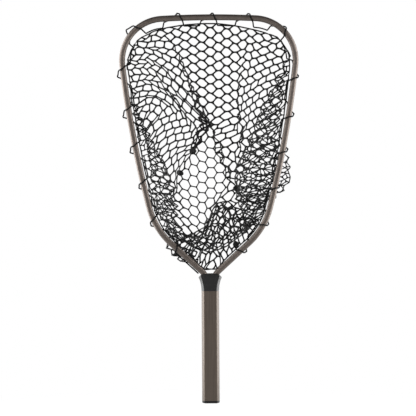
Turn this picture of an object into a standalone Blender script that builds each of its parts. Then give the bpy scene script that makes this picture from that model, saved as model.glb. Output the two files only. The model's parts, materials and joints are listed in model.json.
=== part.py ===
"""Landing net: a bent tube hoop in a short hollow handle, with a moulded bag laced to the hoop.

The hoop stands in the XZ plane. +Z runs from the butt of the handle to the top of the hoop, and
the mouth faces -Y, so the bag hangs behind it. The origin is the middle of the handle, where it is held.
"""

import math

import bmesh
import bpy
import numpy as np
from mathutils import Vector
from mathutils.kdtree import KDTree

MM = 0.001

# Hoop: one bent tube, measured on its centreline.
TUBE_DIAMETER = 12.7 * MM
HOOP_TOP_Z = 689.5 * MM
HOOP_HALF_WIDTH = 182.3 * MM
CROWN_TILT = math.radians(3.0)
CORNER_RADIUS = 88.0 * MM
SIDE_TILT_UPPER = math.radians(6.5)
SIDE_TILT_LOWER = math.radians(14.3)
SHOULDER_RADIUS = 152.0 * MM
LEG_TILT = math.radians(47.5)
LEG_BEND_RADIUS = 30.0 * MM
LEG_GAP = 2.1 * MM
LEG_BEND_ABOVE_HANDLE = 19.0 * MM
LEG_LENGTH_IN_HANDLE = 66.0 * MM

# Handle: a hollow extrusion with flat front and back and two slanted facets on each side. Its section
# goes round the hoop's two legs, with room beside them, before and behind them.
HANDLE_LENGTH = 230.0 * MM
HANDLE_SIDE_ROOM = 5.05 * MM
HANDLE_FACE_ROOM = 6.15 * MM
HANDLE_FLAT_INSET = 0.45 * MM
HANDLE_WALL = 2.2 * MM
HANDLE_NOSE_RADIUS = 4.0 * MM
HANDLE_EDGE_RADIUS = 1.2 * MM

# Throat plug: a flared collar on a tenon that fills the top of the handle.
PLUG_HEIGHT = 36.5 * MM
PLUG_SIDE_FLARE = 6.2 * MM
PLUG_FLAT_FLARE = 7.4 * MM
PLUG_FACE_FLARE = 1.0 * MM
PLUG_ARCH_DROP = 9.0 * MM
PLUG_EDGE = 1.6 * MM
TENON_LENGTH = 72.0 * MM

# End plug: a lip over the butt, with a ribbed hollow tenon that grips the handle's bore.
END_LIP = 5.0 * MM
END_LIP_EDGE = 2.2 * MM
END_TENON_LENGTH = 24.0 * MM
END_TENON_WALL = 2.4 * MM
END_RIBS = 3
END_RIB_HEIGHT = 0.7 * MM
END_RIB_LENGTH = 2.0 * MM

# Fasteners that hold the hoop and the throat plug in the handle.
PIN_DIAMETER = 4.0 * MM
PIN_BELOW_HANDLE_TOP = 40.0 * MM
RIVET_SHANK = 4.0 * MM
RIVET_HEAD = 9.0 * MM
RIVET_HEAD_HEIGHT = 1.6 * MM
RIVET_DEPTH = 7.2 * MM
RIVETS_BELOW_HANDLE_TOP = (18.0 * MM, 58.0 * MM)

# Bag: a thin moulded wall from the rim strip back to a flat bottom panel.
BAG_WALL = 2.4 * MM
RIM_TO_TUBE = 5.65 * MM
RIM_STRIP = 3.2 * MM
EYELET_DEPTH = 12.0 * MM
THROAT_DROP = 18.0 * MM
BAG_DEPTH = 184.0 * MM
BAG_ROUNDING = 1.35
PANEL_CENTRE_X = -6.0 * MM
PANEL_CENTRE_Z = 318.0 * MM
PANEL_HALF_WIDTH = 66.0 * MM
PANEL_HALF_HEIGHT = 112.0 * MM
PANEL_SQUARENESS = 2.8
BAG_SAG = 8.0 * MM

# Lacing: one cord wound round the hoop and the rim strip.
CORD_DIAMETER = 2.6 * MM
WRAPS = 17
LACING_END_TO_THROAT = 28.0 * MM
WRAP_LEAD = 0.38
EYELET_SHARE = 0.61
OUTSIDE_SHARE = 0.80
TAIL_LENGTH = 52.0 * MM

# Clearance between pieces that touch.
GAP = 0.3 * MM

TUBE_RADIUS = TUBE_DIAMETER / 2
CORD_RADIUS = CORD_DIAMETER / 2
RIM_OFFSET = TUBE_RADIUS + RIM_TO_TUBE
LEG_HALF_SPACING = TUBE_RADIUS + LEG_GAP / 2
LEGS_HALF_WIDTH = LEG_HALF_SPACING + TUBE_RADIUS
HANDLE_TOP_Z = HANDLE_LENGTH / 2
HANDLE_WIDTH = 2 * (LEGS_HALF_WIDTH + HANDLE_SIDE_ROOM)
HANDLE_FLAT = 2 * (LEGS_HALF_WIDTH - HANDLE_FLAT_INSET)
HANDLE_THICKNESS = TUBE_DIAMETER + 2 * HANDLE_FACE_ROOM
PLUG_TOP_WIDTH = HANDLE_WIDTH + 2 * PLUG_SIDE_FLARE
PLUG_TOP_FLAT = HANDLE_FLAT + 2 * PLUG_FLAT_FLARE
PLUG_TOP_THICKNESS = HANDLE_THICKNESS + 2 * PLUG_FACE_FLARE
COLUMNS_PER_WRAP = 4
THROAT_COLUMNS = 6


for old in list(bpy.data.objects):
    bpy.data.objects.remove(old, do_unlink=True)

net = bpy.data.collections.new("landing_net")
cutters = bpy.data.collections.new("cutters")
bpy.context.scene.collection.children.link(net)
bpy.context.scene.collection.children.link(cutters)


def finish(name, colour, roughness, metallic):
    """A Principled material for one piece."""
    material = bpy.data.materials.new(name)
    material.use_nodes = True
    shader = material.node_tree.nodes["Principled BSDF"]
    shader.inputs["Base Color"].default_value = (*colour, 1.0)
    shader.inputs["Roughness"].default_value = roughness
    shader.inputs["Metallic"].default_value = metallic
    return material


ANODISED = finish("anodised_tube", (0.105, 0.085, 0.072), 0.38, 0.9)
MOULDED = finish("black_plastic", (0.018, 0.018, 0.019), 0.45, 0.0)
RUBBER = finish("black_rubber", (0.012, 0.012, 0.012), 0.6, 0.0)
CORD = finish("black_cord", (0.01, 0.01, 0.01), 0.8, 0.0)
STEEL = finish("steel", (0.55, 0.55, 0.56), 0.35, 1.0)


def add_object(name, data, material, collection=net):
    """Link an object and give it its material."""
    piece = bpy.data.objects.new(name, data)
    collection.objects.link(piece)
    if material:
        data.materials.append(material)
    return piece


def shade_round(mesh):
    """Smooth shading that keeps the real edges sharp."""
    mesh.shade_smooth()
    mesh.set_sharp_from_angle(angle=math.radians(35))


def hide_cutter(piece):
    """A cutter is only a guide for a cut."""
    piece.hide_render = True
    piece.display_type = "WIRE"


def cut(piece, cutter):
    """Take the cutter's shape out of the piece."""
    modifier = piece.modifiers.new(cutter.name, "BOOLEAN")
    modifier.operation = "DIFFERENCE"
    modifier.object = cutter
    hide_cutter(cutter)


def arc_points(centre, radius, start, stop, steps):
    """Points on an arc in a plane, without its first point."""
    angles = [start + (stop - start) * i / steps for i in range(1, steps + 1)]
    return [(centre[0] + radius * math.cos(a), centre[1] + radius * math.sin(a)) for a in angles]


def rounded_outline(corners, radii, steps):
    """A closed outline with each corner rounded to its radius."""
    outline = []
    for i, corner in enumerate(corners):
        here = Vector(corner)
        before = (Vector(corners[i - 1]) - here).normalized()
        after = (Vector(corners[(i + 1) % len(corners)]) - here).normalized()
        half = before.angle(after) / 2
        reach = radii[i] / math.tan(half)
        centre = here + (before + after).normalized() * radii[i] / math.sin(half)
        first = here + before * reach - centre
        last = here + after * reach - centre
        for k in range(steps + 1):
            outline.append(centre + first.slerp(last, k / steps) * radii[i])
    return [(p.x, p.y) for p in outline]


def facet_profile(width, flat, thickness, shrink=0.0, flat_points=0):
    """The handle's section: flat front and back, and a rounded nose on each side."""
    steps = 3
    half_flat = flat / 2
    half_width = width / 2
    half_thickness = thickness / 2
    facet = Vector((half_width - half_flat, half_thickness)).normalized()
    # Both facets move in along their own normals, so the wall is even all round.
    nose = half_width - shrink / facet.y
    edge_y = half_thickness - shrink
    edge_x = nose - edge_y * facet.x / facet.y
    corners = [(edge_x, -edge_y), (nose, 0.0), (edge_x, edge_y)]
    corners += [(-x, -y) for x, y in corners]
    edge = max(HANDLE_EDGE_RADIUS - shrink, 0.4 * MM)
    round_nose = max(HANDLE_NOSE_RADIUS - shrink, 0.8 * MM)
    outline = rounded_outline(corners, [edge, round_nose, edge] * 2, steps)
    # Extra points along the back and the front let a flat follow an arch.
    half = len(outline) // 2
    back = flat_run(outline[half - 1], outline[half], flat_points)
    front = flat_run(outline[-1], outline[0], flat_points)
    return outline[:half] + back + outline[half:] + front


def flat_run(start, end, count):
    """Evenly spaced points between two corners of an outline."""
    shares = [i / (count + 1) for i in range(1, count + 1)]
    return [(start[0] + (end[0] - start[0]) * t, start[1] + (end[1] - start[1]) * t) for t in shares]


def hoop_half():
    """The right half of the hoop's centreline, from the top down into the handle, as (x, z) points."""
    crown_half = HOOP_HALF_WIDTH - CORNER_RADIUS * (1 - math.sin(CROWN_TILT))
    crown_radius = crown_half / math.sin(CROWN_TILT)
    crown_drop = crown_radius * (1 - math.cos(CROWN_TILT))
    corner_z = HOOP_TOP_Z - crown_drop - CORNER_RADIUS * math.cos(CROWN_TILT)
    bend_end_z = HANDLE_TOP_Z + LEG_BEND_ABOVE_HANDLE

    # The side run and the straight leg take up the width and height that the bends leave.
    side_tilt = (SIDE_TILT_UPPER + SIDE_TILT_LOWER) / 2
    width_left = HOOP_HALF_WIDTH - LEG_HALF_SPACING
    width_left -= CORNER_RADIUS * (1 - math.cos(SIDE_TILT_UPPER))
    width_left -= SHOULDER_RADIUS * (math.cos(SIDE_TILT_LOWER) - math.cos(LEG_TILT))
    width_left -= LEG_BEND_RADIUS * (1 - math.cos(LEG_TILT))
    height_left = corner_z - bend_end_z
    height_left -= CORNER_RADIUS * math.sin(SIDE_TILT_UPPER)
    height_left -= SHOULDER_RADIUS * (math.sin(LEG_TILT) - math.sin(SIDE_TILT_LOWER))
    height_left -= LEG_BEND_RADIUS * math.sin(LEG_TILT)
    runs = np.array([[math.sin(side_tilt), math.sin(LEG_TILT)], [math.cos(side_tilt), math.cos(LEG_TILT)]])
    side_chord, leg_run = np.linalg.solve(runs, [width_left, height_left])
    side_radius = side_chord / 2 / math.sin((SIDE_TILT_LOWER - SIDE_TILT_UPPER) / 2)

    quarter = math.pi / 2
    points = [(0.0, HOOP_TOP_Z)]
    points += arc_points((0, HOOP_TOP_Z - crown_radius), crown_radius, quarter, quarter - CROWN_TILT, 5)
    corner_x = HOOP_HALF_WIDTH - CORNER_RADIUS
    points += arc_points((corner_x, corner_z), CORNER_RADIUS, quarter - CROWN_TILT, -SIDE_TILT_UPPER, 12)
    for radius, start, stop, steps in (
        (side_radius, SIDE_TILT_UPPER, SIDE_TILT_LOWER, 10),
        (SHOULDER_RADIUS, SIDE_TILT_LOWER, LEG_TILT, 7),
    ):
        x, z = points[-1]
        centre = (x - radius * math.cos(start), z + radius * math.sin(start))
        points += arc_points(centre, radius, -start, -stop, steps)
    x, z = points[-1]
    x -= leg_run * math.sin(LEG_TILT)
    z -= leg_run * math.cos(LEG_TILT)
    points.append((x, z))
    # The leg turns back upright inside the throat plug.
    bend_centre = (x + LEG_BEND_RADIUS * math.cos(LEG_TILT), z - LEG_BEND_RADIUS * math.sin(LEG_TILT))
    points += arc_points(bend_centre, LEG_BEND_RADIUS, math.pi - LEG_TILT, math.pi, 7)
    points.append((LEG_HALF_SPACING, HANDLE_TOP_Z - LEG_LENGTH_IN_HANDLE))
    return points


def hoop_path():
    """The whole centreline from the left leg's end round to the right leg's end."""
    right = hoop_half()
    left = [(-x, z) for x, z in reversed(right[1:])]
    return left + right


class Route:
    """The hoop's centreline measured by its length, with the direction that points into the mouth."""

    def __init__(self, points):
        self.points = np.array(points)
        steps = np.linalg.norm(np.diff(self.points, axis=0), axis=1)
        self.length_at = np.concatenate([[0.0], np.cumsum(steps)])
        self.length = self.length_at[-1]

    def at(self, s):
        x = np.interp(s, self.length_at, self.points[:, 0])
        z = np.interp(s, self.length_at, self.points[:, 1])
        return np.array([x, z])

    def inward(self, s):
        reach = 4.0 * MM
        along = self.at(s + reach) - self.at(s - reach)
        along = along / np.linalg.norm(along)
        return np.array([along[1], -along[0]])

    def place(self, s, inward, back):
        """A point beside the tube: so far into the mouth, and so far behind it."""
        x, z = self.at(s) + inward * self.inward(s)
        return Vector((x, back, z))


def tube_curve(name, points, diameter, resolution, collection=net, capped=True):
    """A round tube along a line of points."""
    curve = bpy.data.curves.new(name, "CURVE")
    curve.dimensions = "3D"
    curve.bevel_depth = diameter / 2
    curve.bevel_resolution = resolution
    curve.use_fill_caps = capped
    spline = curve.splines.new("POLY")
    spline.points.add(len(points) - 1)
    for control, point in zip(spline.points, points):
        control.co = (*point, 1.0)
    return add_object(name, curve, None, collection)


def as_mesh(curve_object, name, material, collection=net):
    """Turn a curve into a closed mesh that takes cuts."""
    bpy.context.view_layer.update()
    evaluated = curve_object.evaluated_get(bpy.context.evaluated_depsgraph_get())
    mesh = bpy.data.meshes.new_from_object(evaluated)
    mesh.name = name
    mesh.materials.clear()
    work = bmesh.new()
    work.from_mesh(mesh)
    bmesh.ops.remove_doubles(work, verts=work.verts, dist=0.00001)
    bmesh.ops.recalc_face_normals(work, faces=work.faces)
    work.to_mesh(mesh)
    work.free()
    piece = add_object(name, mesh, material, collection)
    piece.matrix_world = curve_object.matrix_world
    bpy.data.objects.remove(curve_object, do_unlink=True)
    shade_round(mesh)
    return piece


def loft(name, rings, material, collection=net):
    """A closed skin through rings of equal count, with its ends filled."""
    work = bmesh.new()
    loops = [[work.verts.new(point) for point in ring] for ring in rings]
    count = len(loops[0])
    for lower, upper in zip(loops, loops[1:]):
        for i in range(count):
            k = (i + 1) % count
            work.faces.new((lower[i], lower[k], upper[k], upper[i]))
    # Each end is filled with strips that run from its front edge to its back edge.
    for loop in (loops[0], loops[-1]):
        front = sorted((v for v in loop if v.co.y < 0), key=lambda v: v.co.x)
        back = sorted((v for v in loop if v.co.y > 0), key=lambda v: v.co.x)
        for i in range(len(front) - 1):
            work.faces.new((front[i], front[i + 1], back[i + 1], back[i]))
    bmesh.ops.recalc_face_normals(work, faces=work.faces)
    mesh = bpy.data.meshes.new(name)
    work.to_mesh(mesh)
    work.free()
    shade_round(mesh)
    return add_object(name, mesh, material, collection)


def cylinder(name, radius, start, end, material, collection=net, sides=20):
    """A round bar between two points."""
    start = Vector(start)
    end = Vector(end)
    work = bmesh.new()
    bmesh.ops.create_cone(
        work, cap_ends=True, segments=sides, radius1=radius, radius2=radius, depth=(end - start).length
    )
    mesh = bpy.data.meshes.new(name)
    work.to_mesh(mesh)
    work.free()
    shade_round(mesh)
    piece = add_object(name, mesh, material, collection)
    piece.rotation_euler = (end - start).to_track_quat("Z", "Y").to_euler()
    piece.location = (start + end) / 2
    return piece


def make_handle():
    """An extrusion: its outer and inner outlines are two splines of one flat curve."""
    curve = bpy.data.curves.new("handle", "CURVE")
    curve.dimensions = "2D"
    curve.fill_mode = "BOTH"
    curve.extrude = HANDLE_LENGTH / 2
    for shrink in (0.0, HANDLE_WALL):
        outline = facet_profile(HANDLE_WIDTH, HANDLE_FLAT, HANDLE_THICKNESS, shrink)
        spline = curve.splines.new("POLY")
        spline.use_cyclic_u = True
        spline.points.add(len(outline) - 1)
        for control, (x, y) in zip(spline.points, outline):
            control.co = (x, y, 0.0, 1.0)
    handle = as_mesh(add_object("handle_outline", curve, None), "handle", ANODISED)
    for number, below in enumerate(RIVETS_BELOW_HANDLE_TOP, 1):
        z = HANDLE_TOP_Z - below
        back = HANDLE_THICKNESS / 2
        reach = HANDLE_WALL * 2
        hole = cylinder(
            f"handle_rivet_hole_{number}", RIVET_SHANK / 2 + GAP, (0, back - reach, z), (0, back + reach, z),
            None, cutters,
        )
        cut(handle, hole)
    return handle


def make_hoop(path):
    """The bent tube, drilled across both legs for the cross pin."""
    line = [(x, 0.0, z) for x, z in path]
    hoop = as_mesh(tube_curve("hoop_line", line, TUBE_DIAMETER, 4), "hoop", ANODISED)
    pin_z = HANDLE_TOP_Z - PIN_BELOW_HANDLE_TOP
    reach = HANDLE_WIDTH / 2
    hole = cylinder(
        "hoop_pin_hole", PIN_DIAMETER / 2 + GAP, (-reach, 0, pin_z), (reach, 0, pin_z), None, cutters
    )
    cut(hoop, hole)
    return hoop


def make_throat_plug():
    """The collar flares from the handle's section to the hoop's two legs. Its top is flat and drops at the ends."""
    arch_points = 7
    tenon = facet_profile(HANDLE_WIDTH, HANDLE_FLAT, HANDLE_THICKNESS, HANDLE_WALL + GAP, arch_points)
    tenon_end = HANDLE_TOP_Z - TENON_LENGTH
    seat = HANDLE_TOP_Z + GAP
    rings = [[(x, y, z) for x, y in tenon] for z in (tenon_end, seat)]
    # The flare opens slowly at the handle and faster near the top, and the top edge is rounded over.
    stages = [(t / 6, 0.0) for t in range(7)]
    edge = PLUG_EDGE / PLUG_HEIGHT
    stages = [(t * (1 - edge), inset) for t, inset in stages]
    stages += [(1 - edge * 0.3, PLUG_EDGE * 0.3), (1.0, PLUG_EDGE)]
    for rise, inset in stages:
        open_share = rise ** 1.8
        width = HANDLE_WIDTH + (PLUG_TOP_WIDTH - HANDLE_WIDTH) * open_share - 2 * inset
        flat = HANDLE_FLAT + (PLUG_TOP_FLAT - HANDLE_FLAT) * open_share - 2 * inset
        thickness = HANDLE_THICKNESS + (PLUG_TOP_THICKNESS - HANDLE_THICKNESS) * open_share - 2 * inset
        ring = []
        for x, y in facet_profile(width, flat, thickness, 0.0, arch_points):
            arch = PLUG_ARCH_DROP * (2 * x / PLUG_TOP_WIDTH) ** 4
            ring.append((x, y, seat + rise * (PLUG_HEIGHT - arch)))
        rings.append(ring)
    plug = loft("throat_plug", rings, MOULDED)
    # Each leg has its own bore, so the two cutters never cross each other.
    right = hoop_half()[-11:]
    right[-1] = (right[-1][0], tenon_end - TUBE_DIAMETER)
    for side, name in ((-1, "left"), (1, "right")):
        line = [(side * x, 0.0, z) for x, z in right]
        bore = tube_curve(f"{name}_leg_line", line, TUBE_DIAMETER + 2 * GAP, 4, cutters)
        cut(plug, as_mesh(bore, f"{name}_leg_bore", None, cutters))
    pin_z = HANDLE_TOP_Z - PIN_BELOW_HANDLE_TOP
    reach = HANDLE_WIDTH / 2
    cut(plug, cylinder(
        "plug_pin_hole", PIN_DIAMETER / 2 + GAP, (-reach, 0, pin_z), (reach, 0, pin_z), None, cutters
    ))
    back = HANDLE_THICKNESS / 2
    for number, below in enumerate(RIVETS_BELOW_HANDLE_TOP, 1):
        z = HANDLE_TOP_Z - below
        cut(plug, cylinder(
            f"plug_rivet_hole_{number}", RIVET_SHANK / 2 + GAP, (0, back - RIVET_DEPTH - GAP, z), (0, back, z),
            None, cutters,
        ))
    return plug


def make_leg_pin():
    """The cross pin through the tenon and both legs, trapped by the handle's wall."""
    z = HANDLE_TOP_Z - PIN_BELOW_HANDLE_TOP
    nose = max(x for x, _ in facet_profile(HANDLE_WIDTH, HANDLE_FLAT, HANDLE_THICKNESS, HANDLE_WALL))
    reach = nose - 2 * GAP - PIN_DIAMETER * 0.2
    return cylinder("leg_pin", PIN_DIAMETER / 2, (-reach, 0, z), (reach, 0, z), STEEL)


def make_rivets():
    """Round-headed blind rivets on the back of the handle, turned from one profile."""
    shank = RIVET_SHANK / 2
    head = RIVET_HEAD / 2
    dome = (head ** 2 + RIVET_HEAD_HEIGHT ** 2) / (2 * RIVET_HEAD_HEIGHT)
    profile = [(0.0, RIVET_HEAD_HEIGHT)]
    for step in range(1, 5):
        r = head * step / 4
        profile.append((r, math.sqrt(dome ** 2 - r ** 2) - dome + RIVET_HEAD_HEIGHT + 0.2 * MM))
    profile += [(head, 0.0), (shank, 0.0), (shank, -RIVET_DEPTH), (0.0, -RIVET_DEPTH)]
    for number, below in enumerate(RIVETS_BELOW_HANDLE_TOP, 1):
        mesh = bpy.data.meshes.new(f"rivet_{number}")
        edges = [(i, i + 1) for i in range(len(profile) - 1)]
        mesh.from_pydata([(r, 0.0, h) for r, h in profile], edges, [])
        rivet = add_object(f"rivet_{number}", mesh, STEEL)
        turn = rivet.modifiers.new("turn", "SCREW")
        turn.steps = 20
        turn.render_steps = 20
        turn.use_merge_vertices = True
        turn.merge_threshold = 0.00001
        rivet.rotation_euler = (-math.pi / 2, 0, 0)
        rivet.location = (0, HANDLE_THICKNESS / 2 + GAP, HANDLE_TOP_Z - below)


def make_end_plug():
    """The butt's lip and its ribbed tenon, hollow from the inside end."""
    bore = facet_profile(HANDLE_WIDTH, HANDLE_FLAT, HANDLE_THICKNESS, HANDLE_WALL + GAP)
    waist = facet_profile(HANDLE_WIDTH, HANDLE_FLAT, HANDLE_THICKNESS, HANDLE_WALL + GAP + END_RIB_HEIGHT)
    hollow = facet_profile(
        HANDLE_WIDTH, HANDLE_FLAT, HANDLE_THICKNESS, HANDLE_WALL + GAP + END_RIB_HEIGHT + END_TENON_WALL
    )
    butt = -HANDLE_LENGTH / 2
    lip_top = butt - GAP
    lip_bottom = lip_top - END_LIP
    rings = []
    for angle in (90, 60, 30, 0):
        a = math.radians(angle)
        inset = END_LIP_EDGE * (1 - math.cos(a))
        z = lip_bottom + END_LIP_EDGE * (1 - math.sin(a))
        ring = facet_profile(HANDLE_WIDTH, HANDLE_FLAT, HANDLE_THICKNESS, inset)
        rings.append([(x, y, z) for x, y in ring])
    rings.append([(x, y, lip_top) for x, y in facet_profile(HANDLE_WIDTH, HANDLE_FLAT, HANDLE_THICKNESS)])
    pitch = END_TENON_LENGTH / (END_RIBS + 0.5)
    z = lip_top
    rings.append([(x, y, z) for x, y in waist])
    for rib in range(END_RIBS):
        foot = lip_top + pitch * (rib + 0.6)
        rings.append([(x, y, foot) for x, y in waist])
        rings.append([(x, y, foot + END_RIB_LENGTH * 0.3) for x, y in bore])
        rings.append([(x, y, foot + END_RIB_LENGTH * 0.6) for x, y in bore])
        rings.append([(x, y, foot + END_RIB_LENGTH * 1.6) for x, y in waist])
    top = lip_top + END_TENON_LENGTH
    rings.append([(x, y, top) for x, y in waist])
    rings.append([(x, y, top) for x, y in hollow])
    rings.append([(x, y, lip_top) for x, y in hollow])
    return loft("end_plug", rings, RUBBER)


def lacing_span(route):
    """Where the lacing starts and ends along the hoop, clear of the throat plug."""
    leg_in_throat = LEG_BEND_RADIUS * LEG_TILT + LEG_BEND_ABOVE_HANDLE + LEG_LENGTH_IN_HANDLE
    start = leg_in_throat + LACING_END_TO_THROAT
    return start, route.length - start


def rim_columns(route):
    """The rim's columns: four to each wrap along the hoop, and a round sweep across the throat."""
    start, stop = lacing_span(route)
    pitch = (stop - start) / WRAPS
    # The first column of each wrap's four is centred where the cord passes through the wall.
    first = start + (EYELET_SHARE - WRAP_LEAD - 0.5 / COLUMNS_PER_WRAP) * pitch
    columns = []
    for i in range(WRAPS * COLUMNS_PER_WRAP):
        point = route.place(first + i * pitch / COLUMNS_PER_WRAP, RIM_OFFSET, 0.0)
        columns.append((point.x, point.z))
    right = columns[-1]
    left = columns[0]
    low = min(left[1], right[1]) - THROAT_DROP
    for i in range(1, THROAT_COLUMNS):
        t = i / THROAT_COLUMNS
        x = right[0] + (left[0] - right[0]) * t
        side = right if t < 0.5 else left
        columns.append((x, low + (side[1] - low) * (2 * t - 1) ** 2))
    return columns


def make_bag(route):
    """A sagging shell: a rim strip, a row of eyelets for the lacing, curved walls and a bottom panel."""
    columns = rim_columns(route)
    count = len(columns)
    rings = [[Vector((x, 0.0, z)) for x, z in columns]]
    rings.append([Vector((x, RIM_STRIP, z)) for x, z in columns])
    wall_start = RIM_STRIP + EYELET_DEPTH
    rings.append([Vector((x, wall_start, z)) for x, z in columns])
    panel = []
    for x, z in columns:
        heading = Vector((x - PANEL_CENTRE_X, z - PANEL_CENTRE_Z)).normalized()
        across = abs(heading.x) / PANEL_HALF_WIDTH
        up = abs(heading.y) / PANEL_HALF_HEIGHT
        edge = (across ** PANEL_SQUARENESS + up ** PANEL_SQUARENESS) ** (-1 / PANEL_SQUARENESS)
        panel.append((PANEL_CENTRE_X + edge * heading.x, PANEL_CENTRE_Z + edge * heading.y))
    wall_rows = 9
    for row in range(1, wall_rows + 1):
        t = row / wall_rows
        back = wall_start + (BAG_DEPTH - wall_start) * (1 - (1 - t) ** BAG_ROUNDING)
        sag = BAG_SAG * math.sin(math.pi * t)
        ring = []
        for (x, z), (foot_x, foot_z) in zip(columns, panel):
            ring.append(Vector((x + (foot_x - x) * t, back, z + (foot_z - z) * t - sag)))
        rings.append(ring)
    centre = Vector((PANEL_CENTRE_X, BAG_DEPTH, PANEL_CENTRE_Z))
    for share in (0.66, 0.33):
        rings.append([centre.lerp(point, share) for point in rings[2 + wall_rows]])

    work = bmesh.new()
    loops = [[work.verts.new(point) for point in ring] for ring in rings]
    eyelet_row = 1
    laced = WRAPS * COLUMNS_PER_WRAP
    for row, (upper, lower) in enumerate(zip(loops, loops[1:])):
        for i in range(count):
            if row == eyelet_row and i < laced and i % COLUMNS_PER_WRAP == 0:
                continue
            k = (i + 1) % count
            work.faces.new((upper[i], upper[k], lower[k], lower[i]))
    tip = work.verts.new(centre)
    for i in range(count):
        work.faces.new((loops[-1][i], loops[-1][(i + 1) % count], tip))
    bmesh.ops.recalc_face_normals(work, faces=work.faces)
    mesh = bpy.data.meshes.new("net_bag")
    work.to_mesh(mesh)
    work.free()
    mesh.shade_smooth()
    bag = add_object("net_bag", mesh, RUBBER)
    wall = bag.modifiers.new("wall", "SOLIDIFY")
    wall.thickness = BAG_WALL
    wall.offset = 0.0
    return bag


def lacing_stations():
    """One wrap's stations: share of the pitch, distance into the mouth, distance behind the tube."""
    beside = TUBE_RADIUS + CORD_RADIUS + 1.8 * GAP
    inner = RIM_OFFSET + BAG_WALL / 2 + CORD_RADIUS + 2.5 * GAP
    slant = beside * math.sqrt(0.5) * 1.02
    front_lip = CORD_RADIUS + GAP
    return [
        (0.00, inner - 0.6 * MM, -front_lip * 0.9),
        (0.05, inner + 0.15 * MM, 0.6 * MM),
        (0.20, inner + 0.15 * MM, 1.2 * MM),
        (0.40, inner + 0.15 * MM, 1.8 * MM),
        (0.54, inner + 0.1 * MM, 2.4 * MM),
        (0.59, inner - 0.9 * MM, RIM_STRIP + front_lip + 0.6 * MM),
        (0.63, RIM_OFFSET - 2.2 * MM, beside),
        (0.67, 0.55 * beside, beside * 1.05),
        (0.72, 0.0, beside),
        (0.76, -slant, slant),
        (OUTSIDE_SHARE, -beside * 1.03, 0.0),
        (0.84, -slant, -slant),
        (0.88, 0.0, -beside),
        (0.92, 0.55 * beside, -beside * 0.98),
        (0.96, RIM_OFFSET - 1.6 * MM, -front_lip - 2.2 * MM),
    ]


def make_lacing(route):
    """The cord's wraps follow one set of stations, repeated along the hoop, on a smooth line."""
    start, stop = lacing_span(route)
    pitch = (stop - start) / WRAPS
    stations = lacing_stations()
    controls = []
    beside = TUBE_RADIUS + CORD_RADIUS + 1.8 * GAP
    # The tail lies along the outside of the left leg.
    tail_end = start + (OUTSIDE_SHARE - WRAP_LEAD) * pitch
    for share in (1.0, 0.75, 0.5, 0.25):
        controls.append(route.place(tail_end - TAIL_LENGTH * share, -beside, 0.0))
    for wrap in range(WRAPS):
        for share, inward, back in stations:
            if wrap > 0 or share > OUTSIDE_SHARE:
                controls.append(route.place(start + (wrap - WRAP_LEAD + share) * pitch, inward, back))
    per_wrap = 24
    steps = max(2, round(per_wrap / len(stations)))
    points = []
    for i in range(len(controls) - 1):
        before = controls[max(i - 1, 0)]
        after = controls[min(i + 2, len(controls) - 1)]
        a, b = controls[i], controls[i + 1]
        for k in range(steps):
            t = k / steps
            bend_in = (b - before) * 0.5
            bend_out = (after - a) * 0.5
            points.append(
                (2 * t ** 3 - 3 * t ** 2 + 1) * a + (t ** 3 - 2 * t ** 2 + t) * bend_in
                + (3 * t ** 2 - 2 * t ** 3) * b + (t ** 3 - t ** 2) * bend_out
            )
    points.append(controls[-1])
    print_least_gap(points, CORD_DIAMETER)
    lacing = as_mesh(tube_curve("lacing_line", points, CORD_DIAMETER, 1), "lacing_cord", CORD)
    return lacing


def print_least_gap(points, diameter):
    """Measure how near the cord comes to itself, away from its own neighbours along the line."""
    tree = KDTree(len(points))
    for i, point in enumerate(points):
        tree.insert(point, i)
    tree.balance()
    along = [0.0]
    for a, b in zip(points, points[1:]):
        along.append(along[-1] + (b - a).length)
    least = math.inf
    for i, point in enumerate(points):
        for _, k, distance in tree.find_range(point, 6 * diameter):
            if abs(along[k] - along[i]) > 4 * diameter:
                least = min(least, distance - diameter)
    print(f"lacing: length {along[-1]:.3f} m, least gap to itself {least / MM:.2f} mm")


hoop_line = hoop_path()
hoop_route = Route(hoop_line)
make_hoop(hoop_line)
make_throat_plug()
make_handle()
make_leg_pin()
make_rivets()
make_end_plug()
make_bag(hoop_route)
make_lacing(hoop_route)
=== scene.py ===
"""The landing net's looks: finishes, a smooth hoop, the lacing and the moulded mesh bag."""

import json
import math

import bmesh
import bpy
import numpy as np
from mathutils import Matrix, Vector
from mathutils.kdtree import KDTree

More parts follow.
